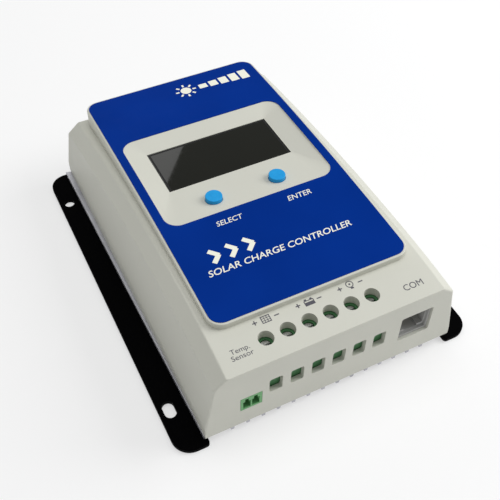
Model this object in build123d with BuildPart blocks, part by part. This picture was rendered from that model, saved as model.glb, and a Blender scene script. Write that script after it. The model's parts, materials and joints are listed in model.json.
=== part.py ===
from build123d import *
import os
from math import atan2, cos, pi, sin, sqrt

# Wall-mounted solar charge controller.
# Frame: X to the right, Y towards the back (the end away from the terminals), Z up off the wall.
# The origin is the centre of the mounting plane. All sizes are in millimetres.

# ---------------------------------------------------------------- overall sizes
flange_span = 139.0
flange_length = 172.0
overall_height = 46.0

# ---------------------------------------------------------------- mounting flanges
flange_thickness = 2.0
flange_width = 13.5
flange_corner_radius = 8.0
flange_inner_radius = 1.5
mount_hole_diameter = 5.0
mount_slot_length = 8.0
hole_edge_distance = 4.5
hole_end_distance = 21.0
tongue_width = 7.4
tongue_end_gap = 7.0

# ---------------------------------------------------------------- cover
cover_edge_gap = 12.0
cover_front_setback = 1.4
cover_foot_z = 4.4
skirt_height = 6.4
wall = 2.0
front_wall = 2.2
draft_slope = 0.168
shoulder_chamfer = 4.6
plateau_step = 2.8
shelf_crest_from_front = 40.0
shelf_back_drop = 10.6
shelf_front_drop = 2.4
plateau_front_shelf = 19.4
plateau_side_shelf = 12.9
plateau_corner_radius = 6.5
plateau_crest_from_front = 59.6
plateau_back_drop = 4.5
edge_round = 0.9
plateau_edge_round = 0.5
label_thickness = 0.25
label_margin = 1.0
fit_gap = 0.15
loose_gap = 0.4

# ---------------------------------------------------------------- display panel
panel_side_gap = 5.1
panel_depth = 59.4
panel_from_plateau_front = 53.5
panel_corner_radius = 6.5
panel_recess = 2.4
panel_floor = 2.2
dish_wall = 1.5
window_share = 0.762
window_depth = 27.6
window_from_panel_back = 8.9
window_lip = 1.8
window_flange = 1.0
window_sink = 0.2
window_land = 0.3
window_land_radius = 0.8
board_drop = 8.4
board_thickness = 1.6
display_board_margin = 1.6
post_diameter = 5.0
post_inset = 3.3
link_pins = 6
link_pitch = 2.54
link_from_board_back = 9.0

# ---------------------------------------------------------------- buttons
button_diameter = 7.5
button_proud = 1.2
button_gap = 0.2
button_flange = 0.8
button_share = 0.387
button_from_panel_front = 8.9
button_travel = 0.6
plunger_diameter = 3.4
plunger_proud = 1.2
switch_size = 6.0
switch_height = 3.2

# ---------------------------------------------------------------- heat sink
sink_plate_top = 9.6
sink_plate_thickness = 3.5
sink_wall_thickness = 6.6
fin_pitch = 6.95
fin_thickness = 2.2
fin_tip_thickness = 1.4
fin_foot = 0.3
fin_edge_margin = 9.6
toe_front_setback = 1.2
toe_back_setback = 1.0
ledge_top = 4.2
ledge_back_reach = 2.7
ledge_front_reach = 0.2
flange_screw_length = 7.4

# ---------------------------------------------------------------- terminals
pole_count = 6
terminal_pitch = 9.35
terminal_row_centre = -3.7
terminal_depth = 16.0
block_gap = 0.3
window_sill_share = 0.02
terminal_top_gap = 4.2
screw_from_front = 9.6
cage_depth = 8.4
cage_gap = 0.3
cage_floor_gap = 0.1
thread_gap = 0.1
screw_bore_gap = 0.2
window_radius = 1.0
collar_wall = 1.2

# Widths of one pole, as shares of the terminal pitch.
wire_window_share = 0.62
access_hole_share = 0.684
mouth_share = 0.56
cage_share = 0.706
cage_side_share = 0.075
screw_head_share = 0.45
screw_shank_share = 0.32

# Heights of one pole from the board up, as shares of the terminal block's height.
wire_window_height_share = 0.371
window_centre_share = 0.395
mouth_height_share = 0.1985
cage_bar_share = 0.043
bar_share = 0.043
cage_top_bar_share = 0.06
clamp_travel_share = 0.151
screw_shoulder_share = 0.035
screw_head_height_share = 0.078

# ---------------------------------------------------------------- sockets
header_width = 9.2
header_height = 8.1
header_depth = 12.0
header_gap = 1.3
jack_opening_width = 15.2
jack_opening_share = 0.647
jack_body_width = 16.4
jack_depth = 18.0
jack_gap = 4.6

# ---------------------------------------------------------------- main board
board_top = 14.2
board_side_gap = 0.9
board_end_gap = 0.8
board_back_margin = 4.0
spacer_diameter = 6.0
spacer_inset = 5.0
m3_clear = 3.4
m3_shank = 2.9
m3_pilot = 3.0
m3_head = 5.5
boss_radius = 3.4
cover_screw_end_gap = 12.0
cover_screw_depth = 7.0
boss_height = 12.0
transistor_width = 10.0
transistor_pitch = 11.5
transistor_first = 15.5
transistor_from_back = 24.0
lead_reach = 14.0
spacer_to_leads = 27.2
capacitor_diameter = 16.0
capacitor_pitch = 22.0
capacitor_share = 0.71
capacitor_from_block = 23.4
core_outer_diameter = 30.0
core_inner_diameter = 17.0
core_share = 0.45
coil_column = -14.0
wire_diameter = 1.8

# ---------------------------------------------------------------- derived places
half_span = flange_span / 2
front_edge = -flange_length / 2
back_edge = flange_length / 2
cover_front = front_edge + cover_front_setback
cover_back = back_edge
cover_half = half_span - cover_edge_gap
skirt_top = cover_foot_z + skirt_height
hole_x = half_span - hole_edge_distance
hole_y = back_edge - hole_end_distance

plateau_crest_y = cover_front + plateau_crest_from_front
plateau_crest_z = overall_height - label_thickness
plateau_front = cover_front + plateau_front_shelf
plateau_half = cover_half - plateau_side_shelf
panel_width = 2 * (plateau_half - panel_side_gap)
window_width = panel_width * window_share
button_spread = panel_width * button_share
display_board_width = panel_width - 2 * display_board_margin
display_board_depth = panel_depth - 2 * display_board_margin
shelf_crest_y = cover_front + shelf_crest_from_front
shelf_crest_z = plateau_crest_z - plateau_step


def radius_for(reach, drop):
    """Radius of an arc that falls by drop over a horizontal reach from its crest."""
    return (reach**2 + drop**2) / (2 * drop)


plateau_radius = radius_for(cover_back - plateau_crest_y, plateau_back_drop)
shelf_back_radius = radius_for(cover_back - shelf_crest_y, shelf_back_drop)
shelf_front_radius = radius_for(shelf_crest_y - cover_front, shelf_front_drop)


def arc_height(y, crest_y, crest_z, radius):
    """Height of a crowned arc at y."""
    return crest_z - radius + sqrt(radius**2 - (y - crest_y) ** 2)


def plateau_height(y):
    return arc_height(y, plateau_crest_y, plateau_crest_z, plateau_radius)


def shelf_height(y):
    radius = shelf_front_radius if y < shelf_crest_y else shelf_back_radius
    return arc_height(y, shelf_crest_y, shelf_crest_z, radius)


# The display panel is a shallow dish. Its rim lies on a chord of the crowned plateau, and its floor,
# which only shows round the window, lies below the rim by the recess.
panel_front = plateau_front + panel_from_plateau_front
panel_back = panel_front + panel_depth
panel_rise = plateau_height(panel_front) - plateau_height(panel_back)
panel_tilt = atan2(panel_rise, panel_depth)
panel_centre_y = (panel_front + panel_back) / 2
panel_centre_z = (plateau_height(panel_front) + plateau_height(panel_back)) / 2 - panel_recess
panel = Plane(origin=(0, panel_centre_y, panel_centre_z), x_dir=(1, 0, 0), z_dir=(0, sin(panel_tilt), cos(panel_tilt)))
panel_rim = panel.offset(panel_recess)
lens_centre = panel_depth / 2 - window_from_panel_back - window_depth / 2
button_row = -panel_depth / 2 + button_from_panel_front
button_places = {"select": (-button_spread / 2, button_row), "enter": (button_spread / 2, button_row)}

# Front row: header, six poles, data socket, from left to right.
pole_columns = [terminal_row_centre + (i - (pole_count - 1) / 2) * terminal_pitch for i in range(pole_count)]
block_half = pole_count * terminal_pitch / 2
block_front = cover_front + front_wall + block_gap
block_back = block_front + terminal_depth
screw_row = cover_front + screw_from_front
block_top = shelf_height(screw_row) - terminal_top_gap
block_height = block_top - board_top
header_centre = terminal_row_centre - block_half - header_gap - header_width / 2
jack_centre = terminal_row_centre + block_half + jack_gap + jack_body_width / 2
jack_opening_height = block_height * jack_opening_share
jack_floor = board_top + 1.6
window_size_x = terminal_pitch * wire_window_share
window_size_z = block_height * wire_window_height_share
window_centre_z = board_top + block_height * window_centre_share
access_hole_diameter = terminal_pitch * access_hole_share

# Heat sink, board and screws.
sink_half = cover_half - wall - loose_gap
sink_front = cover_front + front_wall + loose_gap
sink_back = cover_back - wall - loose_gap
cover_screw_x = sink_half - sink_wall_thickness / 2
cover_screw_y = back_edge - cover_screw_end_gap
cover_bosses = [(sx * cover_screw_x, sy * cover_screw_y) for sx in (-1, 1) for sy in (-1, 1)]
flange_screw_row = cover_screw_y / 3
board_bottom = board_top - board_thickness
board_half = cover_screw_x - boss_radius - board_side_gap
board_front = cover_front + front_wall + board_end_gap
board_back = cover_back - wall - board_end_gap - board_back_margin
spacer_x = board_half - spacer_inset
transistor_y = board_back - transistor_from_back
middle_row = transistor_y - lead_reach - spacer_to_leads
spacer_rows = (block_back + 9.0, middle_row, board_back - spacer_inset)
spacer_places = [(x, y) for x in (-spacer_x, spacer_x) for y in spacer_rows]
transistor_steps = [transistor_first + i * transistor_pitch for i in range(3)]
transistor_columns = [side * step for side in (-1, 1) for step in transistor_steps]

os.makedirs("parts", exist_ok=True)


def finish(builder, name):
    """Label a finished piece and write it under its own name."""
    builder.part.label = name
    export_step(builder.part, f"parts/{name}.step")


def box_between(low, high, mode=Mode.ADD):
    """A box given by its two opposite corners, added to the open part."""
    size = [b - a for a, b in zip(low, high)]
    centre = [(a + b) / 2 for a, b in zip(low, high)]
    with Locations(tuple(centre)):
        Box(*size, mode=mode)


def post_between(place, low_z, high_z, diameter, mode=Mode.ADD):
    """A round post or hole along Z at place, between two heights."""
    with Locations((place[0], place[1], (low_z + high_z) / 2)):
        Cylinder(diameter / 2, high_z - low_z, mode=mode)


def crown(y_from, y_to, crest_y, crest_z, radius):
    """A crowned arc in the side view, from y_from to y_to."""
    y_mid = (y_from + y_to) / 2
    stations = [(y, arc_height(y, crest_y, crest_z, radius)) for y in (y_from, y_mid, y_to)]
    ThreePointArc(*stations)
    return stations[0], stations[-1]


# ---------------------------------------------------------------- cover bodies
def arched_block(inset, front, back, foot):
    """The arched body of the cover, shrunk all round by inset, without its plateau."""
    crest_z = shelf_crest_z - inset
    half_foot = cover_half - inset
    tall = overall_height * 2
    half_tall = half_foot - (tall - skirt_top) * draft_slope
    chamfer_size = shoulder_chamfer - 0.586 * inset
    with BuildPart() as block:
        with BuildSketch(Plane.YZ):
            with BuildLine():
                rear, crest = crown(back, shelf_crest_y, shelf_crest_y, crest_z, shelf_back_radius - inset)
                nose = crown(shelf_crest_y, front, shelf_crest_y, crest_z, shelf_front_radius - inset)[1]
                Polyline(nose, (front, foot), (back, foot), rear)
            make_face()
        extrude(amount=flange_span, both=True)
        with BuildSketch(Plane.XZ):
            with BuildLine():
                Polyline(
                    (-half_foot, foot),
                    (half_foot, foot),
                    (half_foot, skirt_top),
                    (half_tall, tall),
                    (-half_tall, tall),
                    (-half_foot, skirt_top),
                    (-half_foot, foot),
                )
            make_face()
        extrude(amount=flange_length, both=True, mode=Mode.INTERSECT)
        shoulders = block.edges().filter_by(
            lambda e: e.center().Z > skirt_top + 6 and abs(e.center().X) > cover_half / 2 and e.length > 8
            and front + 1 < e.center().Y < back - 1
        )
        chamfer(shoulders, length=chamfer_size)
    return block.part


def plateau_block(inset, front, back, rounding=0):
    """The raised plateau that carries the face film, shrunk by inset, with its rim rounded over."""
    with BuildPart() as block:
        with BuildSketch(Plane.XY.offset(cover_foot_z + skirt_height)) as plan:
            with Locations((0, (front + back) / 2)):
                Rectangle(2 * (plateau_half - inset), back - front)
            if inset:
                chamfer(plan.vertices(), length=plateau_corner_radius - inset)
            else:
                fillet(plan.vertices(), plateau_corner_radius)
        extrude(amount=overall_height)
        with BuildSketch(Plane.YZ):
            with BuildLine():
                near, far = crown(front, back, plateau_crest_y, plateau_crest_z - inset, plateau_radius - inset)
                Polyline(far, (back, 0), (front, 0), near)
            make_face()
        extrude(amount=flange_span, both=True, mode=Mode.INTERSECT)
        if rounding:
            fillet(block.faces().sort_by(Axis.Z)[-1].edges(), rounding)
    return block.part


def at_panel(depth):
    """A plane parallel to the display panel, at depth below its floor."""
    return panel.offset(-depth)


def post_places():
    """Centres of the four posts that carry the display board, in the panel plane."""
    x = display_board_width / 2 - post_inset
    y = display_board_depth / 2 - post_inset
    return [(sx * x, sy * y) for sx in (-1, 1) for sy in (-1, 1)]


with BuildPart() as cover_hollow:
    add(arched_block(wall, cover_front + front_wall, cover_back - wall, -1.0))
    add(plateau_block(wall, plateau_front + wall, cover_back - wall))
    with BuildSketch(panel_rim):
        RectangleRounded(panel_width + 2 * dish_wall, panel_depth + 2 * dish_wall, panel_corner_radius)
    extrude(amount=-(panel_recess + panel_floor), mode=Mode.SUBTRACT)
    with BuildSketch(panel):
        with Locations(*post_places()):
            Circle(post_diameter / 2)
    extrude(amount=-board_drop, mode=Mode.SUBTRACT)
    for column in pole_columns:
        collar = access_hole_diameter + 2 * collar_wall
        post_between((column, screw_row), block_top + loose_gap, overall_height, collar, Mode.SUBTRACT)
    for place in cover_bosses:
        post_between(place, sink_plate_top + 0.1, sink_plate_top + boss_height, 2 * boss_radius, Mode.SUBTRACT)
        side = 1 if place[0] > 0 else -1
        rib = sorted((place[0], side * (cover_half + 1)))
        box_between(
            (rib[0], place[1] - 1.5, sink_plate_top + 0.1),
            (rib[1], place[1] + 1.5, sink_plate_top + boss_height),
            Mode.SUBTRACT,
        )

with BuildPart() as top_cover:
    add(arched_block(0, cover_front, cover_back, cover_foot_z))
    corners = top_cover.edges().filter_by(
        lambda e: e.center().Z > skirt_top - 0.1 and abs(e.center().X) > cover_half / 2 and e.length > 3
    )
    fillet(corners, edge_round)
    add(plateau_block(0, plateau_front, cover_back, plateau_edge_round))
    add(cover_hollow.part, mode=Mode.SUBTRACT)
    with BuildSketch(panel_rim):
        RectangleRounded(panel_width, panel_depth, panel_corner_radius)
    extrude(amount=panel_recess * 2, mode=Mode.SUBTRACT)
    with BuildSketch(panel_rim):
        RectangleRounded(panel_width, panel_depth, panel_corner_radius)
    with BuildSketch(panel):
        with Locations((0, lens_centre)):
            land = 2 * window_land
            RectangleRounded(window_width + land, window_depth + land, window_land_radius)
    loft(ruled=True, mode=Mode.SUBTRACT)
    with BuildSketch(panel_rim):
        with Locations((0, lens_centre)):
            Rectangle(window_width, window_depth)
        with Locations(*button_places.values()):
            Circle(button_diameter / 2 + button_gap)
    extrude(amount=-(panel_recess + panel_floor * 2), mode=Mode.SUBTRACT)
    with BuildSketch(at_panel(board_drop)):
        with Locations(*post_places()):
            Circle(0.9)
    extrude(amount=board_drop - panel_floor, mode=Mode.SUBTRACT)
    for column in pole_columns:
        post_between((column, screw_row), block_top, overall_height, access_hole_diameter, Mode.SUBTRACT)
    with BuildSketch(Plane.XZ.offset(-cover_front)):
        with Locations(*[(column, window_centre_z) for column in pole_columns]):
            RectangleRounded(window_size_x, window_size_z, window_radius)
        with Locations((header_centre, board_top + header_height / 2)):
            Rectangle(header_width + 2 * fit_gap, header_height + 2 * fit_gap)
        with Locations((jack_centre, jack_floor + jack_opening_height / 2)):
            RectangleRounded(jack_opening_width, jack_opening_height, window_radius)
    extrude(amount=-(front_wall + fit_gap), mode=Mode.SUBTRACT)
    for place in cover_bosses:
        post_between(place, 0, sink_plate_top + cover_screw_depth + 0.6, m3_pilot, Mode.SUBTRACT)
finish(top_cover, "top_cover")

# ---------------------------------------------------------------- face film
with BuildPart() as face_label:
    with BuildSketch(Plane.XY.offset(overall_height / 2)):
        with Locations((0, (plateau_front + cover_back) / 2)):
            RectangleRounded(
                2 * (plateau_half - label_margin),
                cover_back - plateau_front - 2 * label_margin,
                plateau_corner_radius - label_margin,
            )
        with Locations((0, panel_centre_y)):
            RectangleRounded(panel_width + 0.6, panel_depth + 0.6, panel_corner_radius, mode=Mode.SUBTRACT)
    extrude(amount=overall_height)
    with BuildSketch(Plane.YZ):
        with BuildLine():
            near, far = crown(plateau_front, cover_back, plateau_crest_y, plateau_crest_z, plateau_radius)
            upper_z = plateau_crest_z + label_thickness
            upper_radius = plateau_radius + label_thickness
            near_up, far_up = crown(plateau_front, cover_back, plateau_crest_y, upper_z, upper_radius)
            Line(near, near_up)
            Line(far, far_up)
        make_face()
    extrude(amount=flange_span, both=True, mode=Mode.INTERSECT)
finish(face_label, "face_label")

# ---------------------------------------------------------------- display window and module
with BuildPart() as display_window:
    with BuildSketch(at_panel(window_sink)):
        with Locations((0, lens_centre)):
            Rectangle(window_width - 2 * fit_gap, window_depth - 2 * fit_gap)
    extrude(amount=-(panel_floor + window_flange - window_sink))
    with BuildSketch(at_panel(panel_floor)):
        with Locations((0, lens_centre)):
            Rectangle(window_width + 2 * window_lip, window_depth + 2 * window_lip)
    extrude(amount=-window_flange)
finish(display_window, "display_window")

frame_top = panel_floor + window_flange
glass_thickness = 2.2
frame_wall = 2.0
glass_width = window_width - 1.0
glass_depth = window_depth - 0.4

with BuildPart() as lcd_frame:
    with BuildSketch(at_panel(frame_top)):
        with Locations((0, lens_centre)):
            Rectangle(glass_width + 2 * frame_wall + 0.4, glass_depth + 2 * frame_wall + 0.4)
            Rectangle(glass_width + 0.4, glass_depth + 0.4, mode=Mode.SUBTRACT)
    extrude(amount=-(board_drop - frame_top))
finish(lcd_frame, "lcd_frame")

with BuildPart() as lcd_glass:
    with BuildSketch(at_panel(frame_top + 0.2)):
        with Locations((0, lens_centre)):
            Rectangle(glass_width, glass_depth)
    extrude(amount=-glass_thickness)
finish(lcd_glass, "lcd_glass")

with BuildPart() as lcd_backlight:
    with BuildSketch(at_panel(frame_top + 0.2 + glass_thickness)):
        with Locations((0, lens_centre)):
            Rectangle(glass_width, glass_depth)
    extrude(amount=-(board_drop - frame_top - 0.2 - glass_thickness))
finish(lcd_backlight, "lcd_backlight")

link_row = display_board_depth / 2 - link_from_board_back

with BuildPart() as display_board:
    with BuildSketch(at_panel(board_drop)):
        RectangleRounded(display_board_width, display_board_depth, 2.0)
        with Locations(*post_places()):
            Circle(1.1, mode=Mode.SUBTRACT)
    extrude(amount=-board_thickness)
finish(display_board, "display_board")

with BuildPart() as display_board_screws:
    with BuildSketch(at_panel(board_drop + board_thickness)):
        with Locations(*post_places()):
            Circle(1.9)
    extrude(amount=-1.3)
    with BuildSketch(at_panel(board_drop + board_thickness)):
        with Locations(*post_places()):
            Circle(0.85)
    extrude(amount=board_thickness + 4.5)
    with BuildSketch(at_panel(board_drop + board_thickness + 1.3)):
        with Locations(*post_places()):
            Rectangle(2.2, 0.5)
            Rectangle(0.5, 2.2)
    extrude(amount=0.7, mode=Mode.SUBTRACT)
finish(display_board_screws, "display_board_screws")

# Pin strip under the display board, and the socket on the main board that it plugs into.
strip_depth = board_drop + board_thickness
strip_height = 2.5
strip_end = at_panel(strip_depth + strip_height).from_local_coords((0, link_row, 0))
link_drop = strip_end.Z - board_top
pin_length = link_drop / 2
link_half = link_pins * link_pitch / 2

with BuildPart() as link_pin_strip:
    with BuildSketch(at_panel(strip_depth)):
        with Locations((0, link_row)):
            Rectangle(2 * link_half, 2.4)
    extrude(amount=-strip_height)
    with BuildSketch(at_panel(strip_depth + strip_height)):
        with Locations((0, link_row)):
            with GridLocations(link_pitch, 0, link_pins, 1):
                Rectangle(0.64, 0.64)
    extrude(amount=-pin_length)
finish(link_pin_strip, "link_pin_strip")

with BuildPart() as link_socket:
    socket_y = strip_end.Y
    socket_top = strip_end.Z - 0.3
    box_between((-link_half - 1, socket_y - 2.5, board_top), (link_half + 1, socket_y + 2.5, socket_top))
    cell_floor = socket_top - pin_length - 0.4
    box_between((-link_half, socket_y - 1.1, cell_floor), (link_half, socket_y + 1.1, socket_top), Mode.SUBTRACT)
finish(link_socket, "link_socket")

# ---------------------------------------------------------------- buttons and switches
flange_top = panel_floor + 0.3
stem_end = board_drop - switch_height - plunger_proud - 0.05


def make_button(place):
    """A push button: cap, retaining flange and stem, along the panel's normal."""
    with BuildPart() as button:
        with BuildSketch(panel_rim.offset(button_proud)):
            with Locations(place):
                Circle(button_diameter / 2)
        extrude(amount=-(button_proud + panel_recess + flange_top))
        rim = button.edges().group_by(Axis.Z)[-1]
        fillet(rim, 0.35)
        with BuildSketch(at_panel(flange_top)):
            with Locations(place):
                Circle(button_diameter / 2 + 1.0)
        extrude(amount=-button_flange)
        with BuildSketch(at_panel(flange_top + button_flange)):
            with Locations(place):
                Circle(plunger_diameter / 2)
        extrude(amount=-(stem_end - flange_top - button_flange))
    return button


def make_plunger(place):
    """The sliding plunger of a tact switch."""
    with BuildPart() as plunger:
        with BuildSketch(at_panel(board_drop - switch_height - plunger_proud)):
            with Locations(place):
                Circle(plunger_diameter / 2)
        extrude(amount=-(plunger_proud + 1.2))
    return plunger


for button_name, button_place in button_places.items():
    finish(make_button(button_place), f"{button_name}_button")
    finish(make_plunger(button_place), f"switch_plunger_{button_name}")

with BuildPart() as tact_switches:
    with BuildSketch(at_panel(board_drop)):
        with Locations(*button_places.values()):
            Rectangle(switch_size, switch_size)
    extrude(amount=switch_height)
    with BuildSketch(at_panel(board_drop - switch_height)):
        with Locations(*button_places.values()):
            Circle(plunger_diameter / 2 + 0.15)
    extrude(amount=-(1.2 + button_travel + 0.2), mode=Mode.SUBTRACT)
finish(tact_switches, "tact_switches")

# ---------------------------------------------------------------- heat sink
fin_count = int(2 * (sink_half - fin_edge_margin) // fin_pitch) + 1
fin_columns = [(i - (fin_count - 1) / 2) * fin_pitch for i in range(fin_count)]
plate_bottom = sink_plate_top - sink_plate_thickness
toe_front = cover_front + toe_front_setback
toe_back = cover_back - toe_back_setback


def fin_width(z):
    """Fin thickness at height z: it narrows towards the tip."""
    share = (z - fin_foot) / (plate_bottom - fin_foot)
    return fin_tip_thickness + share * (fin_thickness - fin_tip_thickness)


def fin_stretch(low_z, high_z, front, back):
    """One height band of every fin."""
    with BuildSketch(Plane.XZ.offset(-front)) as band:
        for column in fin_columns:
            low_half = fin_width(low_z) / 2
            high_half = fin_width(high_z) / 2
            with BuildLine():
                Polyline(
                    (column - low_half, low_z),
                    (column + low_half, low_z),
                    (column + high_half, high_z),
                    (column - high_half, high_z),
                    (column - low_half, low_z),
                )
            make_face()
    extrude(band.sketch, amount=-(back - front))


with BuildPart() as heat_sink:
    box_between((-sink_half, sink_front, plate_bottom), (sink_half, sink_back, sink_plate_top))
    for side in (-1, 1):
        inner = side * (sink_half - sink_wall_thickness)
        low_x, high_x = sorted((inner, side * sink_half))
        box_between((low_x, sink_front, flange_thickness), (high_x, sink_back, plate_bottom))
        with BuildSketch(Plane.XY.offset(flange_thickness)):
            with BuildLine():
                Polyline(
                    (side * (sink_half - 1), sink_front),
                    (side * (cover_half + ledge_front_reach), toe_front),
                    (side * (cover_half + ledge_back_reach), toe_back),
                    (side * (sink_half - 1), sink_back),
                    (side * (sink_half - 1), sink_front),
                )
            make_face()
        extrude(amount=ledge_top - flange_thickness)
    fin_stretch(fin_foot, ledge_top, toe_front, toe_back)
    fin_stretch(ledge_top, plate_bottom, sink_front, sink_back)
    for place in cover_bosses:
        post_between(place, 0, sink_plate_top, m3_clear, Mode.SUBTRACT)
    for place in spacer_places:
        post_between(place, plate_bottom + 0.4, sink_plate_top, m3_pilot, Mode.SUBTRACT)
    for side in (-1, 1):
        for row in (-flange_screw_row, flange_screw_row):
            post_between((side * cover_screw_x, row), 0, flange_screw_length + 0.6, m3_pilot, Mode.SUBTRACT)
    for column in transistor_columns:
        hole_place = (column, transistor_y + 6.0)
        post_between(hole_place, plate_bottom, sink_plate_top, m3_pilot, Mode.SUBTRACT)
finish(heat_sink, "heat_sink")


# ---------------------------------------------------------------- mounting flanges
def flange_screw_places(side):
    """Screws through one flange: two into the heat sink, two on into the cover."""
    rows = (-cover_screw_y, -flange_screw_row, flange_screw_row, cover_screw_y)
    return [(side * cover_screw_x, row) for row in rows]


def make_flange(side):
    """A flat flange with rounded outer corners, a round hole, a slot and an inner tongue."""
    outer = side * half_span
    inner = side * (half_span - flange_width)
    with BuildPart() as flange:
        with BuildSketch():
            with Locations(((outer + inner) / 2, 0)):
                Rectangle(flange_width, flange_length)
            outer_corners = [v for v in vertices() if abs(v.X - outer) < 0.1]
            fillet(outer_corners, flange_corner_radius)
            inner_corners = [v for v in vertices() if abs(v.X - inner) < 0.1]
            fillet(inner_corners, flange_inner_radius)
            with Locations((inner - side * (tongue_width / 2 - 0.5), 0)):
                Rectangle(tongue_width + 1.0, flange_length - 2 * tongue_end_gap)
            with Locations((side * hole_x, hole_y)):
                Circle(mount_hole_diameter / 2, mode=Mode.SUBTRACT)
            with Locations((side * hole_x, -hole_y)):
                SlotOverall(mount_slot_length, mount_hole_diameter, rotation=90, mode=Mode.SUBTRACT)
        extrude(amount=flange_thickness)
        rims = flange.faces().sort_by(Axis.Z)[-1].outer_wire().edges()
        chamfer(rims, 0.3)
        for place in flange_screw_places(side):
            with Locations(Location((place[0], place[1], 0), (180, 0, 0))):
                CounterSinkHole(m3_clear / 2, m3_head / 2 + 0.2, flange_thickness * 3)
    return flange


finish(make_flange(-1), "mounting_flange_left")
finish(make_flange(1), "mounting_flange_right")


def countersunk_screw(place, length, recess_depth=0.9):
    """A countersunk screw driven upwards from the mounting plane, with a cross recess."""
    with Locations((place[0], place[1], 0.2 + length / 2)):
        Cylinder(m3_shank / 2, length)
    with Locations((place[0], place[1], 0.2 + 0.6)):
        Cone(m3_head / 2, m3_shank / 2, 1.2)
    for wide, narrow in ((2.8, 0.6), (0.6, 2.8)):
        with Locations((place[0], place[1], 0.2 + recess_depth / 2)):
            Box(wide, narrow, recess_depth, mode=Mode.SUBTRACT)


with BuildPart() as cover_screws:
    for place in cover_bosses:
        countersunk_screw(place, sink_plate_top + cover_screw_depth)
finish(cover_screws, "cover_screws")

with BuildPart() as flange_screws:
    for side in (-1, 1):
        for row in (-flange_screw_row, flange_screw_row):
            countersunk_screw((side * cover_screw_x, row), flange_screw_length)
finish(flange_screws, "flange_screws")

# ---------------------------------------------------------------- main board
slot_front = transistor_y - 10.4
slot_back = transistor_y + 9.6

with BuildPart() as main_board:
    with BuildSketch(Plane.XY.offset(board_bottom)):
        with Locations((0, (board_front + board_back) / 2)):
            RectangleRounded(2 * board_half, board_back - board_front, 2.0)
        for side in (-1, 1):
            with Locations((side * transistor_steps[1], (slot_front + slot_back) / 2)):
                slot_width = 3 * transistor_pitch + 1.0
                RectangleRounded(slot_width, slot_back - slot_front, 1.0, mode=Mode.SUBTRACT)
        with Locations(*spacer_places):
            Circle(m3_clear / 2, mode=Mode.SUBTRACT)
    extrude(amount=board_thickness)
finish(main_board, "main_board")

with BuildPart() as board_spacers:
    with BuildSketch(Plane.XY.offset(sink_plate_top)):
        with Locations(*spacer_places):
            Circle(spacer_diameter / 2)
            Circle(m3_clear / 2, mode=Mode.SUBTRACT)
    extrude(amount=board_bottom - sink_plate_top)
finish(board_spacers, "board_spacers")


def pan_screw(place, seat_z, length):
    """A pan-head screw driven downwards onto a seat, with a cross recess."""
    post_between(place, seat_z - length, seat_z, m3_shank)
    post_between(place, seat_z, seat_z + 1.9, m3_head)
    for wide, narrow in ((2.8, 0.6), (0.6, 2.8)):
        with Locations((place[0], place[1], seat_z + 1.5)):
            Box(wide, narrow, 0.8, mode=Mode.SUBTRACT)


with BuildPart() as board_screws:
    for place in spacer_places:
        pan_screw(place, board_top, board_top - plate_bottom - 0.8)
finish(board_screws, "board_screws")

# ---------------------------------------------------------------- terminal block
mouth_height = block_height * mouth_height_share
mouth_width = terminal_pitch * mouth_share
cage_width = terminal_pitch * cage_share
cage_side = terminal_pitch * cage_side_share
cage_bar = block_height * cage_bar_share
bar_thickness = block_height * bar_share
clamp_travel = block_height * clamp_travel_share
screw_head_diameter = terminal_pitch * screw_head_share
screw_shank_diameter = terminal_pitch * screw_shank_share
screw_head_height = block_height * screw_head_height_share

# One pole from the bottom up: cage, mouth, fixed bar, cage top, travel, shoulder, screw head.
mouth_floor = window_centre_z - window_size_z * window_sill_share
cage_floor = mouth_floor - cage_bar
bar_bottom = mouth_floor + mouth_height
cage_ceiling = bar_bottom + bar_thickness + 0.5
cage_top = cage_ceiling + block_height * cage_top_bar_share
cavity_roof = cage_top + clamp_travel + cage_floor_gap
shoulder_top = cavity_roof + block_height * screw_shoulder_share
screw_tip = bar_bottom + bar_thickness + 0.1
cavity_half = cage_width / 2 + cage_gap
cavity_front = screw_row - cage_depth / 2 - cage_gap
cavity_back = screw_row + cage_depth / 2 + cage_gap
bar_half = cage_width / 2 - cage_side - cage_gap
bar_back = cavity_back + 2.2
leg_front = bar_back - bar_thickness
slot_gap = 0.2

with BuildPart() as terminal_block:
    box_between(
        (terminal_row_centre - block_half, block_front, board_top),
        (terminal_row_centre + block_half, block_back, block_top),
    )
    for column in pole_columns:
        box_between(
            (column - cavity_half, cavity_front, cage_floor - cage_floor_gap),
            (column + cavity_half, cavity_back, cavity_roof),
            Mode.SUBTRACT,
        )
        box_between(
            (column - mouth_width / 2, block_front, mouth_floor),
            (column + mouth_width / 2, cavity_front, bar_bottom),
            Mode.SUBTRACT,
        )
        shank_bore = screw_shank_diameter + 2 * screw_bore_gap
        head_bore = screw_head_diameter + 2 * screw_bore_gap
        post_between((column, screw_row), cavity_roof, shoulder_top, shank_bore, Mode.SUBTRACT)
        post_between((column, screw_row), shoulder_top, block_top, head_bore, Mode.SUBTRACT)
        slot_half = bar_half + slot_gap
        slot_top = bar_bottom + bar_thickness + slot_gap
        slot_back = bar_back + slot_gap
        box_between(
            (column - slot_half, cavity_back, bar_bottom - slot_gap),
            (column + slot_half, slot_back, slot_top),
            Mode.SUBTRACT,
        )
        box_between(
            (column - slot_half, leg_front - slot_gap, board_top),
            (column + slot_half, slot_back, slot_top),
            Mode.SUBTRACT,
        )
finish(terminal_block, "terminal_block")

with BuildPart() as terminal_bars:
    for column in pole_columns:
        bar_top = bar_bottom + bar_thickness
        box_between((column - bar_half, cavity_front + cage_gap, bar_bottom), (column + bar_half, bar_back, bar_top))
        box_between((column - bar_half, leg_front, board_top), (column + bar_half, bar_back, bar_top))
finish(terminal_bars, "terminal_bars")


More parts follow.
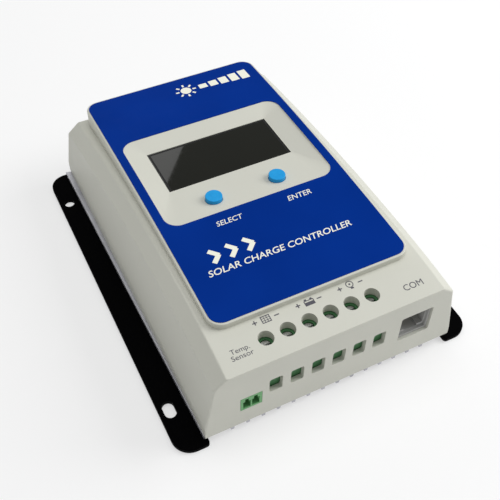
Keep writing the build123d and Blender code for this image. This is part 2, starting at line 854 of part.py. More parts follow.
def make_clamp_screw(column):
    """A clamp screw with a slotted head, turning in the block above the fixed bar."""
    place = (column, screw_row)
    with BuildPart() as screw:
        post_between(place, screw_tip, shoulder_top, screw_shank_diameter)
        post_between(place, shoulder_top, shoulder_top + screw_head_height, screw_head_diameter)
        with Locations((column, screw_row, shoulder_top + screw_head_height)):
            Box(screw_head_diameter + 1, 0.8, screw_head_height, mode=Mode.SUBTRACT)
    return screw


def make_clamp(column):
    """A rising clamp: a rectangular cage that the screw pulls up around the fixed bar."""
    half = cage_width / 2
    front = screw_row - cage_depth / 2
    back = screw_row + cage_depth / 2
    with BuildPart() as cage:
        box_between((column - half, front, cage_floor), (column + half, back, cage_top))
        box_between(
            (column - half + cage_side, front, mouth_floor),
            (column + half - cage_side, back, cage_ceiling),
            Mode.SUBTRACT,
        )
        thread_bore = screw_shank_diameter + 2 * thread_gap
        post_between((column, screw_row), cage_ceiling, cage_top, thread_bore, Mode.SUBTRACT)
    return cage


for number, column in enumerate(pole_columns, start=1):
    finish(make_clamp_screw(column), f"terminal_screw_{number}")
    finish(make_clamp(column), f"terminal_clamp_{number}")

# ---------------------------------------------------------------- sensor header
cell_width = 3.2
cell_pitch = 3.81
header_back = cover_front + header_depth

with BuildPart() as sensor_header:
    box_between(
        (header_centre - header_width / 2, cover_front, board_top),
        (header_centre + header_width / 2, header_back, board_top + header_height),
    )
    with BuildSketch(Plane.XZ.offset(-cover_front)):
        with Locations((header_centre, board_top + 3.1)):
            with GridLocations(cell_pitch, 0, 2, 1):
                Rectangle(cell_width, 4.4)
        with Locations((header_centre, board_top + 6.1)):
            with GridLocations(cell_pitch, 0, 2, 1):
                Rectangle(cell_width / 2, 1.8)
    extrude(amount=-(header_depth - 2.5), mode=Mode.SUBTRACT)
finish(sensor_header, "sensor_header")

with BuildPart() as sensor_pins:
    with BuildSketch(Plane.XZ.offset(-(cover_front + 3.0))):
        with Locations((header_centre, board_top + 3.1)):
            with GridLocations(cell_pitch, 0, 2, 1):
                Rectangle(1.0, 1.0)
    extrude(amount=-(header_depth - 5.5))
finish(sensor_pins, "sensor_pins")

# ---------------------------------------------------------------- data socket
jack_nose = cover_front + 1.2
jack_shoulder = cover_front + front_wall + 0.3
jack_back = jack_nose + jack_depth
jack_cavity_width = 11.8
jack_cavity_height = jack_opening_height * 0.64
jack_mid = jack_floor + jack_opening_height / 2

with BuildPart() as com_jack:
    box_between(
        (jack_centre - jack_body_width / 2, jack_shoulder, board_top),
        (jack_centre + jack_body_width / 2, jack_back, jack_floor + jack_opening_height + 0.8),
    )
    with BuildSketch(Plane.XZ.offset(-jack_nose)):
        with Locations((jack_centre, jack_mid)):
            RectangleRounded(
                jack_opening_width - 2 * fit_gap, jack_opening_height - 2 * fit_gap, window_radius - fit_gap
            )
    extrude(amount=-(jack_shoulder - jack_nose))
    with BuildSketch(Plane.XZ.offset(-jack_nose)):
        with Locations((jack_centre, jack_mid)):
            RectangleRounded(jack_cavity_width + 1.4, jack_cavity_height + 2.6, 0.6)
    extrude(amount=-1.2, mode=Mode.SUBTRACT)
    with BuildSketch(Plane.XZ.offset(-jack_nose)):
        with Locations((jack_centre, jack_mid + 0.4)):
            Rectangle(jack_cavity_width, jack_cavity_height)
        with Locations((jack_centre, jack_mid - jack_cavity_height / 2)):
            Rectangle(6.4, 1.6)
    extrude(amount=-(jack_depth - 4.5), mode=Mode.SUBTRACT)
finish(com_jack, "com_jack")

contact_pitch = 1.2
with BuildPart() as com_contacts:
    contact_top = jack_mid + 0.4 + jack_cavity_height / 2
    for i in range(8):
        x = jack_centre + (i - 3.5) * contact_pitch
        with BuildSketch(Plane.YZ.offset(x - 0.2)):
            with BuildLine():
                Polyline(
                    (jack_nose + 4.0, contact_top),
                    (jack_nose + 11.0, contact_top - 2.6),
                    (jack_nose + 11.4, contact_top - 2.2),
                    (jack_nose + 5.4, contact_top),
                    (jack_nose + 4.0, contact_top),
                )
            make_face()
        extrude(amount=0.4)
finish(com_contacts, "com_contacts")

# ---------------------------------------------------------------- power parts
pad_thickness = 0.3
transistor_base = sink_plate_top + pad_thickness

with BuildPart() as insulating_pads:
    for column in transistor_columns:
        low = (column - transistor_width / 2 - 0.5, transistor_y - 8.2, sink_plate_top)
        high = (column + transistor_width / 2 + 0.5, transistor_y + 8.8, transistor_base)
        box_between(low, high)
        post_between((column, transistor_y + 6.0), sink_plate_top, transistor_base, m3_clear, Mode.SUBTRACT)
finish(insulating_pads, "insulating_pads")

with BuildPart() as power_transistors:
    for column in transistor_columns:
        half = transistor_width / 2
        low = (column - half, transistor_y - 7.2, transistor_base)
        box_between(low, (column + half, transistor_y + 8.4, transistor_base + 1.3))
        box_between(low, (column + half, transistor_y + 1.8, transistor_base + 4.4))
        post_between((column, transistor_y + 6.0), transistor_base, transistor_base + 1.3, m3_clear, Mode.SUBTRACT)
        for lead in (-2.54, 0, 2.54):
            lead_low = column + lead - 0.4
            lead_high = column + lead + 0.4
            leg_z = transistor_base + 2.0
            box_between((lead_low, transistor_y - 9.4, leg_z), (lead_high, transistor_y - 7.2, leg_z + 0.5))
            box_between((lead_low, transistor_y - 9.9, leg_z), (lead_high, transistor_y - 9.3, board_top + 0.5))
            lead_front = transistor_y - lead_reach
            box_between((lead_low, lead_front, board_top), (lead_high, transistor_y - 9.3, board_top + 0.5))
finish(power_transistors, "power_transistors")

with BuildPart() as transistor_screws:
    for column in transistor_columns:
        pan_screw((column, transistor_y + 6.0), transistor_base + 1.3, 4.4)
finish(transistor_screws, "transistor_screws")

# Room between the two boards, and the coil and capacitors that stand in it.
upper_board_underside = panel_centre_z - board_drop - board_thickness - 1.3
core_height = (upper_board_underside - board_top) * core_share
capacitor_y = block_back + capacitor_from_block
capacitor_back = capacitor_y + capacitor_diameter / 2
capacitor_height = (shelf_crest_z - wall - board_top) * capacitor_share
coil_y = (capacitor_back + transistor_y - lead_reach) / 2
coil_base = board_top + wire_diameter + 0.5
core_outer = core_outer_diameter / 2
core_inner = core_inner_diameter / 2
inner_turn_radius = core_inner - wire_diameter / 2 - 0.1
turn_count = int(2 * pi * inner_turn_radius / wire_diameter) + 1

with BuildPart() as inductor_core:
    with BuildSketch(Plane.XY.offset(coil_base)):
        with Locations((coil_column, coil_y)):
            Circle(core_outer)
            Circle(core_inner, mode=Mode.SUBTRACT)
    extrude(amount=core_height)
finish(inductor_core, "inductor_core")

# One turn of the winding, square round the core, drawn beside the origin in the XZ plane.
with BuildPart() as one_turn:
    with BuildSketch(Plane.XZ):
        with Locations(((core_outer + core_inner) / 2, 0)):
            turn_width = core_outer - core_inner + 0.2
            turn_height = core_height + 0.2
            RectangleRounded(turn_width + 2 * wire_diameter, turn_height + 2 * wire_diameter, wire_diameter)
            Rectangle(turn_width, turn_height, mode=Mode.SUBTRACT)
    extrude(amount=wire_diameter / 2, both=True)

with BuildPart() as inductor_winding:
    with Locations((coil_column, coil_y, coil_base + core_height / 2)):
        with PolarLocations(0, turn_count):
            add(one_turn.part)
    lead_radius = core_outer + 0.1 + wire_diameter / 2
    for turn in (0, turn_count // 2):
        angle = 2 * pi * turn / turn_count
        lead_place = (coil_column + lead_radius * cos(angle), coil_y + lead_radius * sin(angle))
        post_between(lead_place, board_top, coil_base + core_height / 2, wire_diameter)
finish(inductor_winding, "inductor_winding")

with BuildPart() as capacitors:
    for i in (-1, 0, 1):
        place = (i * capacitor_pitch, capacitor_y)
        post_between(place, board_top, board_top + capacitor_height, capacitor_diameter)
    cap_rims = capacitors.edges().filter_by(GeomType.CIRCLE).group_by(Axis.Z)[-1]
    fillet(cap_rims, 0.8)
finish(capacitors, "capacitors")

with BuildPart() as control_chip:
    chip_place = (coil_column + core_outer + 16.0, coil_y)
    box_between(
        (chip_place[0] - 6, chip_place[1] - 6, board_top + 0.1),
        (chip_place[0] + 6, chip_place[1] + 6, board_top + 1.9),
    )
    for turn in (0, 1):
        for i in range(10):
            step = (i - 4.5) * 1.0
            reach_x, reach_y = (7.2, 0.2) if turn else (0.2, 7.2)
            shift_x, shift_y = (0, step) if turn else (step, 0)
            box_between(
                (chip_place[0] + shift_x - reach_x, chip_place[1] + shift_y - reach_y, board_top),
                (chip_place[0] + shift_x + reach_x, chip_place[1] + shift_y + reach_y, board_top + 0.3),
            )
finish(control_chip, "control_chip")

with BuildPart() as current_shunt:
    shunt_place = (spacer_x - 9.0, capacitor_back + 10.0)
    for side in (-1, 1):
        low_x, high_x = sorted((shunt_place[0] + side * 8.0, shunt_place[0] + side * 7.0))
        box_between((low_x, shunt_place[1] - 3, board_top), (high_x, shunt_place[1] + 3, board_top + 6.0))
    box_between(
        (shunt_place[0] - 8.0, shunt_place[1] - 3, board_top + 5.0),
        (shunt_place[0] + 8.0, shunt_place[1] + 3, board_top + 6.0),
    )
finish(current_shunt, "current_shunt")

with BuildPart() as surge_diodes:
    for pair in range(pole_count // 2):
        diode_x = (pole_columns[2 * pair] + pole_columns[2 * pair + 1]) / 2
        diode_y = (block_back + capacitor_y - capacitor_diameter / 2) / 2
        box_between((diode_x - 3.5, diode_y - 3, board_top), (diode_x + 3.5, diode_y + 3, board_top + 2.3))
        box_between((diode_x - 4.2, diode_y - 1.5, board_top), (diode_x + 4.2, diode_y + 1.5, board_top + 0.4))
finish(surge_diodes, "surge_diodes")
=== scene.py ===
import json
import math

import bmesh
import bpy
from mathutils import Matrix, Vector
from mathutils.bvhtree import BVHTree


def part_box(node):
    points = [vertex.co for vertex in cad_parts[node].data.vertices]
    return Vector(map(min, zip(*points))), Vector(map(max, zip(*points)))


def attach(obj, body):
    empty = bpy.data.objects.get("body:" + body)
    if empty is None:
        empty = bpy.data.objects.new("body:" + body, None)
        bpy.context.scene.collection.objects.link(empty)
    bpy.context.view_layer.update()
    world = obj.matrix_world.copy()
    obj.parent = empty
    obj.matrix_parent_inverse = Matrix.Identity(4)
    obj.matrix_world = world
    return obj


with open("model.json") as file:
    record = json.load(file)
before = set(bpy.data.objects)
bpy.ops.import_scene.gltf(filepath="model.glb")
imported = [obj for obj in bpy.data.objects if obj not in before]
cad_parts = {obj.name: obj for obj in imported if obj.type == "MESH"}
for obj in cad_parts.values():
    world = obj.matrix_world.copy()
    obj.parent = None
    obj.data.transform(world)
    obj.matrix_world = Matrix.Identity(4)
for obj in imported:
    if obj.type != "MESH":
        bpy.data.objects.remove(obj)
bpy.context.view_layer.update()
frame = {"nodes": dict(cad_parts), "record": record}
nodes = frame["nodes"]

MM = 0.001
PRINT_THICKNESS = 0.03 * MM
PRINT_LIFT = 0.02 * MM
ABOVE_EVERYTHING = 0.2
ROUND_STEPS = 40
FULL_TURN = 2 * math.pi
FLOOR_HALF_SIZE = 4.0
FLOOR_DROP = 0.0004
FLOOR_GLOW = 0.5
ITALIC = 0.22
SOLAR_POLES, BATTERY_POLES, LOAD_POLES = range(3)


def linear(red, green, blue):
    """An sRGB colour from 0 to 255 as the linear colour that a shader takes."""
    shares = (c / 255 for c in (red, green, blue))
    return tuple(s / 12.92 if s <= 10 / 255 else ((s + 0.055) / 1.055) ** 2.4 for s in shares) + (1.0,)


def shade(colour, share):
    """The colour made darker or lighter by a share."""
    return tuple(min(1.0, c * share) for c in colour[:3]) + (1.0,)


# ------------------------------------------------------------------ finishes
class Finish:
    """A material being built: its node tree, its shader and the piece's own coordinates."""

    def __init__(self, name, metal=0.0, coat=0.0, coat_rough=0.1, gloss=0.35):
        self.material = bpy.data.materials.new(name)
        self.material.use_nodes = True
        self.tree = self.material.node_tree
        self.shader = self.tree.nodes["Principled BSDF"]
        self.shader.inputs["Metallic"].default_value = metal
        self.shader.inputs["Specular IOR Level"].default_value = gloss
        self.shader.inputs["Coat Weight"].default_value = coat
        self.shader.inputs["Coat Roughness"].default_value = coat_rough
        self.place = self.tree.nodes.new("ShaderNodeTexCoord").outputs["Object"]

    def add(self, kind, **values):
        node = self.tree.nodes.new(kind)
        for key, value in values.items():
            setattr(node, key, value)
        return node

    def link(self, source, target):
        self.tree.links.new(source, target)

    def stretched(self, scale):
        mapping = self.add("ShaderNodeMapping")
        mapping.inputs["Scale"].default_value = scale
        self.link(self.place, mapping.inputs["Vector"])
        return mapping.outputs["Vector"]

    def noise(self, size, detail=3.0, stretch=(1.0, 1.0, 1.0), roughness=0.55):
        """Noise with features of about the given size in metres."""
        node = self.add("ShaderNodeTexNoise")
        node.inputs["Scale"].default_value = 1.0 / size
        node.inputs["Detail"].default_value = detail
        node.inputs["Roughness"].default_value = roughness
        self.link(self.stretched(stretch), node.inputs["Vector"])
        return node.outputs["Fac"]

    def cells(self, size, stretch=(1.0, 1.0, 1.0)):
        """Distance from the middles of cells of about the given size in metres."""
        node = self.add("ShaderNodeTexVoronoi", feature="F1")
        node.inputs["Scale"].default_value = 1.0 / size
        self.link(self.stretched(stretch), node.inputs["Vector"])
        return node.outputs["Distance"]

    def between(self, value, low, high, to_low=0.0, to_high=1.0):
        node = self.add("ShaderNodeMapRange")
        node.inputs["From Min"].default_value = low
        node.inputs["From Max"].default_value = high
        node.inputs["To Min"].default_value = to_low
        node.inputs["To Max"].default_value = to_high
        self.link(value, node.inputs["Value"])
        return node.outputs["Result"]

    def mix(self, amount, first, second):
        """first where amount is 0 and second where it is 1; each is a colour or an output."""
        node = self.add("ShaderNodeMix", data_type="RGBA")
        self.link(amount, node.inputs[0])
        for socket, value in ((node.inputs[6], first), (node.inputs[7], second)):
            if isinstance(value, tuple):
                socket.default_value = value
            else:
                self.link(value, socket)
        return node.outputs[2]

    def axis(self, letter):
        node = self.add("ShaderNodeSeparateXYZ")
        self.link(self.place, node.inputs[0])
        return node.outputs[letter]

    def colour(self, value):
        self.link(value, self.shader.inputs["Base Color"])

    def roughness(self, value):
        self.link(value, self.shader.inputs["Roughness"])

    def bump(self, height, strength, depth):
        """Relief on top of any relief that is already there."""
        node = self.add("ShaderNodeBump")
        node.inputs["Strength"].default_value = strength
        node.inputs["Distance"].default_value = depth
        self.link(height, node.inputs["Height"])
        existing = self.shader.inputs["Normal"].links
        if existing:
            self.link(existing[0].from_socket, node.inputs["Normal"])
        self.link(node.outputs["Normal"], self.shader.inputs["Normal"])


def moulded(name, colour, rough=0.5, grain=0.35 * MM, relief=0.02 * MM, spread=0.05, strength=0.5):
    """Moulded plastic: fine spark texture, faint flow marks and a little handling gloss."""
    f = Finish(name)
    flow = f.noise(28 * MM, detail=2.0, stretch=(1.0, 0.35, 1.0))
    fine = f.noise(grain, detail=4.0)
    f.colour(f.mix(f.between(flow, 0.3, 0.7), shade(colour, 1 - spread), shade(colour, 1 + spread)))
    handled = f.noise(12 * MM, detail=5.0)
    f.roughness(f.between(handled, 0.3, 0.75, rough - 0.06, rough + 0.07))
    f.bump(fine, strength, relief)
    return f


def plated(name, colour, rough=0.28, stretch=(1.0, 1.0, 1.0), grain=0.5 * MM):
    """Plated or bare metal with a fine grain, dull patches and faint tarnish."""
    f = Finish(name, metal=1.0)
    grain_lines = f.noise(grain, detail=5.0, stretch=stretch)
    patches = f.noise(5 * MM, detail=4.0)
    f.colour(f.mix(f.between(patches, 0.35, 0.7), colour, shade(colour, 0.82)))
    f.roughness(f.between(grain_lines, 0.25, 0.8, rough - 0.08, rough + 0.16))
    f.bump(grain_lines, 0.35, 0.01 * MM)
    return f


def make_finishes():
    """Every finish of the controller, by the record's slot name."""
    made = {}
    cover = moulded("cover_spark_textured_grey", linear(209, 209, 198), spread=0.018, strength=0.35)
    cover.bump(cover.cells(0.6 * MM), 0.12, 0.015 * MM)
    made["grey_plastic"] = cover

    film = Finish("face_film_printed_blue", gloss=0.02)
    ink = film.noise(40 * MM, detail=2.0)
    film.colour(film.mix(film.between(ink, 0.3, 0.7), linear(1, 45, 133), linear(2, 49, 141)))
    film.roughness(film.between(film.noise(6 * MM, detail=5.0), 0.3, 0.7, 0.4, 0.52))
    film.bump(film.noise(0.22 * MM, detail=3.0), 0.3, 0.01 * MM)
    made["face_film"] = film

    window = Finish("display_window_dark_gloss", gloss=0.3)
    tint = window.noise(22 * MM, detail=2.0)
    window.colour(window.mix(tint, linear(21, 22, 16), linear(25, 26, 20)))
    window.roughness(window.between(window.noise(3 * MM, detail=5.0), 0.3, 0.75, 0.02, 0.05))
    made["window_plastic"] = window

    made["black_plastic"] = moulded("module_frame_black", linear(34, 34, 35))

    glass = Finish("display_glass_smoked", coat=0.5, coat_rough=0.05)
    layers = glass.cells(0.55 * MM, stretch=(1.0, 1.0, 0.2))
    glass.colour(glass.mix(layers, linear(52, 56, 48), linear(66, 70, 60)))
    glass.roughness(glass.between(glass.noise(4 * MM), 0.3, 0.7, 0.1, 0.2))
    made["lcd_glass"] = glass

    made["light_guide"] = moulded("light_guide_white", linear(235, 238, 233), rough=0.3, grain=0.8 * MM)

    board = Finish("board_solder_mask", coat=0.4, coat_rough=0.15)
    tracks = board.add("ShaderNodeTexBrick")
    tracks.offset = 0.5
    tracks.inputs["Scale"].default_value = 1.0
    tracks.inputs["Brick Width"].default_value = 7.5 * MM
    tracks.inputs["Row Height"].default_value = 1.9 * MM
    tracks.inputs["Mortar Size"].default_value = 0.22 * MM
    tracks.inputs["Color1"].default_value = linear(12, 82, 44)
    tracks.inputs["Color2"].default_value = linear(14, 90, 48)
    tracks.inputs["Mortar"].default_value = linear(38, 128, 70)
    board.link(board.place, tracks.inputs["Vector"])
    vias = board.cells(3.4 * MM)
    ringed = board.between(vias, 0.13, 0.11)
    board.colour(board.mix(ringed, tracks.outputs["Color"], linear(214, 196, 140)))
    board.roughness(board.between(board.noise(3 * MM), 0.3, 0.7, 0.28, 0.42))
    board.bump(tracks.outputs["Fac"], 0.4, 0.03 * MM)
    made["board_green"] = board

    made["screw_steel"] = plated("screws_zinc_plated", linear(200, 200, 198), rough=0.3)

    sink = Finish("heat_sink_die_cast", metal=0.85)
    drawn = sink.noise(0.9 * MM, detail=5.0, stretch=(1.0, 0.15, 1.0))
    blotch = sink.noise(16 * MM, detail=4.0)
    sink.colour(sink.mix(sink.between(blotch, 0.3, 0.7), linear(178, 178, 184), linear(206, 206, 211)))
    sink.roughness(sink.between(drawn, 0.25, 0.8, 0.38, 0.58))
    sink.bump(sink.noise(0.3 * MM, detail=4.0), 0.35, 0.03 * MM)
    made["bare_aluminium"] = sink

    coat = Finish("flange_black_powder_coat", gloss=0.02)
    scuffs = coat.between(coat.noise(2.2 * MM, detail=8.0, roughness=0.7), 0.68, 0.8)
    coat.colour(coat.mix(scuffs, linear(1, 1, 2), linear(14, 14, 15)))
    coat.roughness(coat.between(coat.noise(0.8 * MM, detail=4.0), 0.3, 0.7, 0.5, 0.66))
    coat.bump(coat.cells(0.7 * MM), 0.45, 0.05 * MM)
    made["black_flange"] = coat

    made["terminal_green"] = moulded("terminal_block_green", linear(76, 128, 84), rough=0.42, spread=0.06)
    made["header_green"] = moulded("sensor_header_green", linear(106, 170, 110), rough=0.4, spread=0.05)
    made["jack_grey"] = moulded("data_socket_grey", linear(172, 172, 170), rough=0.45, spread=0.05)
    made["contact_brass"] = plated("contacts_tinned_brass", linear(214, 192, 140), rough=0.24, grain=0.3 * MM)
    made["ferrite"] = moulded("coil_core_painted", linear(196, 188, 60), grain=0.5 * MM, relief=0.05 * MM)

    wire = Finish("coil_wire_enamelled", metal=0.9, coat=0.8, coat_rough=0.08)
    hue = wire.noise(4 * MM, detail=3.0)
    wire.colour(wire.mix(wire.between(hue, 0.3, 0.7), linear(190, 104, 52), linear(222, 136, 74)))
    wire.roughness(wire.between(wire.noise(0.7 * MM), 0.3, 0.7, 0.2, 0.34))
    wire.bump(wire.noise(0.9 * MM, detail=2.0), 0.2, 0.03 * MM)
    made["copper_wire"] = wire

    sleeve = Finish("capacitor_sleeve_striped", coat=0.5, coat_rough=0.12)
    low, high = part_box("capacitors")
    front_stripe = sleeve.between(sleeve.axis("Y"), low.y + 1.2 * MM, low.y + 1.0 * MM)
    can_top = sleeve.between(sleeve.axis("Z"), high.z - 0.25 * MM, high.z - 0.15 * MM)
    striped = sleeve.mix(front_stripe, linear(26, 30, 44), linear(205, 208, 210))
    sleeve.colour(sleeve.mix(can_top, striped, linear(188, 190, 192)))
    sleeve.roughness(sleeve.between(sleeve.noise(2 * MM), 0.3, 0.7, 0.22, 0.36))
    sleeve.bump(sleeve.noise(5 * MM, detail=2.0, stretch=(1.0, 1.0, 0.2)), 0.25, 0.06 * MM)
    made["capacitor_sleeve"] = sleeve

    made["chip_black"] = moulded("chips_moulded_black", linear(36, 36, 38), rough=0.55, grain=0.25 * MM)
    made["pad_rubber"] = moulded(
        "thermal_pads_grey", linear(150, 152, 158), rough=0.75, grain=0.6 * MM, relief=0.04 * MM
    )
    made["shunt_metal"] = plated("shunt_bare_alloy", linear(178, 172, 162), 0.36, (0.1, 1.0, 1.0))
    made["clamp_metal"] = plated("clamp_cages_plated", linear(206, 205, 198), 0.26, (1.0, 1.0, 0.2))

    button = Finish("button_light_blue", coat=0.08, coat_rough=0.2, gloss=0.12)
    tone = button.noise(2.6 * MM, detail=3.0)
    button.colour(button.mix(button.between(tone, 0.3, 0.7), linear(30, 151, 218), linear(38, 162, 229)))
    button.roughness(button.between(button.noise(1.2 * MM, detail=5.0), 0.3, 0.7, 0.34, 0.46))
    button.bump(button.noise(0.2 * MM), 0.25, 0.01 * MM)
    made["button_blue"] = button
    return made


finishes = make_finishes()
for part in frame["record"]["subparts"]:
    holder = nodes[part["node"]]
    for material_slot in holder.material_slots:
        material_slot.material = finishes[part["material_slot"]].material


def ink_finish(name, colour, wear):
    """Screen-printed ink: nearly even colour, with small worn spots."""
    f = Finish(name)
    holes = f.between(f.noise(0.35 * MM, detail=6.0, roughness=0.7), 0.3, 0.42)
    f.colour(f.mix(holes, shade(colour, wear), colour))
    f.roughness(f.between(f.noise(1.5 * MM), 0.3, 0.7, 0.42, 0.56))
    f.bump(f.noise(0.15 * MM), 0.2, 0.005 * MM)
    return f.material


white_ink = ink_finish("legend_ink_white", linear(246, 246, 230), 0.85)
grey_ink = ink_finish("legend_ink_grey", linear(82, 81, 90), 1.2)
black_ink = ink_finish("window_border_black", linear(10, 10, 10), 1.6)


# ------------------------------------------------------------------ printed legends
def bar(bm, centre, size, turn=0.0):
    """A printed bar, given its centre and its two sides."""
    place = Matrix.Translation((centre[0], centre[1], 0)) @ Matrix.Rotation(turn, 4, "Z")
    place = place @ Matrix.Diagonal((size[0], size[1], PRINT_THICKNESS, 1.0))
    bmesh.ops.create_cube(bm, size=1.0, matrix=place)


def outline(bm, centre, size, line):
    """A rectangular outline of bars."""
    width, height = size
    for side in (-1, 1):
        bar(bm, (centre[0], centre[1] + side * (height - line) / 2), (width, line))
        bar(bm, (centre[0] + side * (width - line) / 2, centre[1]), (line, height - 2 * line))


def disc(bm, centre, radius):
    """A printed disc."""
    bmesh.ops.create_cone(
        bm,
        cap_ends=True,
        segments=ROUND_STEPS,
        radius1=radius,
        radius2=radius,
        depth=PRINT_THICKNESS,
        matrix=Matrix.Translation((centre[0], centre[1], 0)),
    )


def ring(bm, centre, radius, line):
    """A printed ring, spun from the section of its line."""
    corners = []
    for reach, height in ((-1, -1), (1, -1), (1, 1), (-1, 1)):
        at = (centre[0] + radius + reach * line / 2, centre[1], height * PRINT_THICKNESS / 2)
        corners.append(bm.verts.new(at))
    face = bm.faces.new(corners)
    bmesh.ops.spin(
        bm,
        geom=[face] + list(face.edges) + corners,
        cent=(centre[0], centre[1], 0),
        axis=(0, 0, 1),
        angle=FULL_TURN,
        steps=ROUND_STEPS,
        use_merge=True,
    )
    bm.faces.remove(face)


def words(bm, text, centre, height, width, slant=0.0, weight=0.0):
    """Lettering fitted to a height and a width, and centred at a place."""
    curve = bpy.data.curves.new(text, "FONT")
    curve.body = text
    curve.align_x = "CENTER"
    curve.align_y = "CENTER"
    curve.shear = slant
    curve.offset = weight
    curve.extrude = 0.5
    curve.resolution_u = 4
    holder = bpy.data.objects.new(text, curve)
    bpy.context.scene.collection.objects.link(holder)
    evaluated = holder.evaluated_get(bpy.context.evaluated_depsgraph_get())
    shape = bpy.data.meshes.new_from_object(evaluated)
    bpy.data.objects.remove(holder)
    xs = [v.co.x for v in shape.vertices]
    ys = [v.co.y for v in shape.vertices]
    scale_x = width / (max(xs) - min(xs))
    scale_y = height / (max(ys) - min(ys))
    middle = Vector(((max(xs) + min(xs)) / 2, (max(ys) + min(ys)) / 2, 0))
    shape.transform(Matrix.Translation(-middle))
    shape.transform(Matrix.Diagonal((scale_x, scale_y, PRINT_THICKNESS, 1.0)))
    shape.transform(Matrix.Translation((centre[0], centre[1], 0)))
    bm.from_mesh(shape)
    bpy.data.meshes.remove(shape)


def lay_on(bm, node):
    """Lift every point of a flat print onto the surface below it."""
    surface = bmesh.new()
    surface.from_mesh(nodes[node].data)
    tree = BVHTree.FromBMesh(surface)
    surface.free()
    for v in bm.verts:
        hit = tree.ray_cast(Vector((v.co.x, v.co.y, ABOVE_EVERYTHING)), Vector((0, 0, -1)))[0]
        v.co.z += hit.z + PRINT_LIFT


def printed_piece(name, bm, ink):
    """Make a printed piece of the mesh, with its faces outward, that stays with the cover."""
    bmesh.ops.recalc_face_normals(bm, faces=bm.faces)
    mesh = bpy.data.meshes.new(name)
    bm.to_mesh(mesh)
    bm.free()
    mesh.materials.append(ink)
    piece = bpy.data.objects.new(name, mesh)
    bpy.context.scene.collection.objects.link(piece)
    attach(piece, "base")


def middle(node):
    """The middle of a CAD node, seen from above."""
    low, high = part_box(node)
    return ((low.x + high.x) / 2, (low.y + high.y) / 2)


pole_places = [middle(f"terminal_screw_{number}") for number in range(1, 7)]


def film_legends():
    """White print on the film: names, title, three chevrons, a sun and five rising bars."""
    bm = bmesh.new()
    film_low, film_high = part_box("face_label")
    name_y = middle("select_button")[1] - 15.2 * MM
    words(bm, "SELECT", (-15.1 * MM, name_y), 2.7 * MM, 12.2 * MM, ITALIC, 0.004)
    words(bm, "ENTER", (18.2 * MM, name_y + 0.4 * MM), 2.8 * MM, 11.3 * MM, ITALIC, 0.004)
    title_y = film_low.y + 23.1 * MM
    words(bm, "SOLAR CHARGE CONTROLLER", (-2.8 * MM, title_y), 3.2 * MM, 65 * MM, ITALIC, 0.008)
    chevron_y = title_y + 7.7 * MM
    for i in range(3):
        chevron_x = -28.8 * MM + i * 7.7 * MM
        for side in (-1, 1):
            arm = (chevron_x, chevron_y + side * 1.6 * MM)
            bar(bm, arm, (5.0 * MM, 2.1 * MM), -side * math.radians(46))
    mark = (4.6 * MM, film_high.y - 11.2 * MM)
    disc(bm, mark, 2.7 * MM)
    for i in range(8):
        angle = i * math.pi / 4
        at = (mark[0] + 4.4 * MM * math.cos(angle), mark[1] + 4.4 * MM * math.sin(angle))
        bar(bm, at, (1.8 * MM, 1.0 * MM), angle)
    for i in range(5):
        step = (13.8 * MM + i * 5.6 * MM, mark[1])
        bar(bm, step, (4.3 * MM, 3.4 * MM + i * 1.0 * MM))
    lay_on(bm, "face_label")
    printed_piece("film_legends", bm, white_ink)


def shelf_legends():
    """Grey print on the shelf: each pair's signs and icon, and the sockets' names."""
    bm = bmesh.new()
    line = 0.36 * MM
    stroke = 0.48 * MM
    row = pole_places[0][1] + 7.5 * MM
    pairs = zip(pole_places[0::2], pole_places[1::2])
    centres = [(left[0] + right[0]) / 2 for left, right in pairs]
    for centre in centres:
        plus = (centre - 5.7 * MM, row)
        bar(bm, plus, (2.0 * MM, stroke))
        for side in (-1, 1):
            bar(bm, (plus[0], plus[1] + side * 0.62 * MM), (stroke, 0.76 * MM))
        bar(bm, (centre + 3.7 * MM, row), (2.1 * MM, stroke))
    icon_x = [centre - 0.95 * MM for centre in centres]
    panel_x = icon_x[SOLAR_POLES]
    thin = line * 0.7
    outline(bm, (panel_x, row), (3.9 * MM, 3.2 * MM), line)
    for share in (-1, 1):
        cell_edge = row + share * 0.5 * MM
        bar(bm, (panel_x + share * 0.58 * MM, row), (thin, 2.5 * MM))
        bar(bm, (panel_x, cell_edge), (0.86 * MM, thin))
        for side in (-1, 1):
            bar(bm, (panel_x + side * 1.19 * MM, cell_edge), (0.9 * MM, thin))
    battery = (icon_x[BATTERY_POLES] + 0.2 * MM, row - 0.35 * MM)
    outline(bm, battery, (4.3 * MM, 2.5 * MM), line)
    bar(bm, (battery[0], battery[1] - 0.26 * MM), (3.56 * MM, 1.22 * MM))
    for side in (-1, 1):
        bar(bm, (battery[0] + side * 1.2 * MM, battery[1] + 1.56 * MM), (0.95 * MM, 0.6 * MM))
    bulb = (icon_x[LOAD_POLES], row + 0.55 * MM)
    ring(bm, bulb, 1.45 * MM, line)
    disc(bm, bulb, 0.42 * MM)
    bar(bm, (bulb[0] + 0.25 * MM, bulb[1] - 1.98 * MM), (1.3 * MM, 0.66 * MM))
    header_x = middle("sensor_header")[0]
    words(bm, "Temp.", (header_x - 0.5 * MM, row - 8.1 * MM), 2.7 * MM, 7.8 * MM)
    words(bm, "Sensor", (header_x - 0.6 * MM, row - 10.4 * MM), 2.1 * MM, 9.0 * MM)
    words(bm, "COM", (middle("com_jack")[0], row - 10.2 * MM), 2.8 * MM, 8.8 * MM)
    lay_on(bm, "top_cover")
    printed_piece("shelf_legends", bm, grey_ink)


def window_border():
    """The black border printed on the display window."""
    low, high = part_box("lcd_glass")
    size = (high.x - low.x, high.y - low.y - 0.2 * MM)
    bm = bmesh.new()
    outline(bm, middle("lcd_glass"), size, 0.8 * MM)
    lay_on(bm, "display_window")
    printed_piece("window_border", bm, black_ink)


film_legends()
shelf_legends()
window_border()


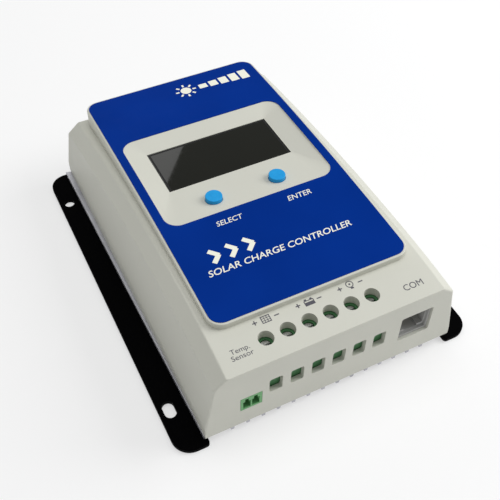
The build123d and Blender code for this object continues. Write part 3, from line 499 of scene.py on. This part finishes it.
# ------------------------------------------------------------------ floor, light and camera
def paper_floor():
    """A plain pale floor that glows a little, as a light table does."""
    bm = bmesh.new()
    place = Matrix.Translation((0, 0, -FLOOR_DROP))
    bmesh.ops.create_grid(bm, x_segments=4, y_segments=4, size=FLOOR_HALF_SIZE, matrix=place)
    mesh = bpy.data.meshes.new("paper_floor")
    bm.to_mesh(mesh)
    bm.free()
    f = Finish("floor_pale_paper")
    f.colour(f.mix(f.noise(0.2), linear(181, 181, 181), linear(184, 184, 184)))
    f.roughness(f.between(f.noise(0.05), 0.3, 0.7, 0.85, 0.95))
    f.shader.inputs["Emission Color"].default_value = (1.0, 1.0, 1.0, 1.0)
    f.shader.inputs["Emission Strength"].default_value = FLOOR_GLOW
    mesh.materials.append(f.material)
    floor = bpy.data.objects.new("paper_floor", mesh)
    bpy.context.scene.collection.objects.link(floor)


def soft_box(name, direction, distance, size, watts):
    """A square soft light that faces the controller."""
    lamp = bpy.data.lights.new(name, "AREA")
    lamp.size = size
    lamp.energy = watts
    holder = bpy.data.objects.new(name, lamp)
    toward = Vector(direction).normalized()
    holder.location = Vector((0, 0, 20 * MM)) + toward * distance
    holder.rotation_euler = toward.to_track_quat("Z", "Y").to_euler()
    bpy.context.scene.collection.objects.link(holder)


def window_card():
    """A small card whose edge is reflected, slanting, in the left of the display window."""
    lamp = bpy.data.lights.new("window_card", "AREA")
    lamp.size = 0.25
    lamp.energy = 0.38
    holder = bpy.data.objects.new("window_card", lamp)
    along = Vector((0.644, 0.3664, -0.6717))
    away = Vector((0.245, 0.733, 0.635)).normalized()
    across = away.cross(along).normalized()
    turned = Matrix((across.cross(away), across, away)).transposed().to_4x4()
    holder.matrix_world = Matrix.Translation(Vector((0.212, 0.719, 0.647)) + across * 0.1295) @ turned
    bpy.context.scene.collection.objects.link(holder)


def studio():
    """Pale surroundings, a strong soft light from the right and a soft light from above.

    The surroundings light the controller weakly, but are seen as pale behind the floor's far edge."""
    world = bpy.data.worlds.new("pale_surroundings")
    world.use_nodes = True
    backdrop = world.node_tree.nodes["Background"]
    backdrop.inputs["Color"].default_value = (0.98, 0.99, 1.0, 1.0)
    seen = world.node_tree.nodes.new("ShaderNodeLightPath")
    strength = world.node_tree.nodes.new("ShaderNodeMapRange")
    strength.inputs["To Min"].default_value = 0.33
    strength.inputs["To Max"].default_value = 0.97
    world.node_tree.links.new(seen.outputs["Is Camera Ray"], strength.inputs["Value"])
    world.node_tree.links.new(strength.outputs["Result"], backdrop.inputs["Strength"])
    bpy.context.scene.world = world
    soft_box("side_light", (0.8, -0.16, 0.6), 1.2, 0.7, 8.6)
    soft_box("top_light", (0.0, 0.1, 1.0), 1.3, 1.0, 5.9)
    window_card()
    bpy.context.scene.view_settings.view_transform = "Standard"


def viewpoint():
    """A camera above the front left corner, turned and a little rolled."""
    camera = bpy.data.cameras.new("viewpoint")
    camera.sensor_width = 36.0
    camera.lens = 56.8
    camera.clip_start = 0.01
    holder = bpy.data.objects.new("viewpoint", camera)
    forward = Vector((0.2983, 0.5851, -0.7541)).normalized()
    right = Vector((0.8958, -0.4443, 0.0097))
    up = right.cross(forward).normalized()
    right = forward.cross(up)
    turned = Matrix((right, up, -forward)).transposed().to_4x4()
    holder.matrix_world = Matrix.Translation(Vector((-109.7, -222.8, 285.9)) * MM) @ turned
    bpy.context.scene.collection.objects.link(holder)
    bpy.context.scene.camera = holder


paper_floor()
studio()
viewpoint()
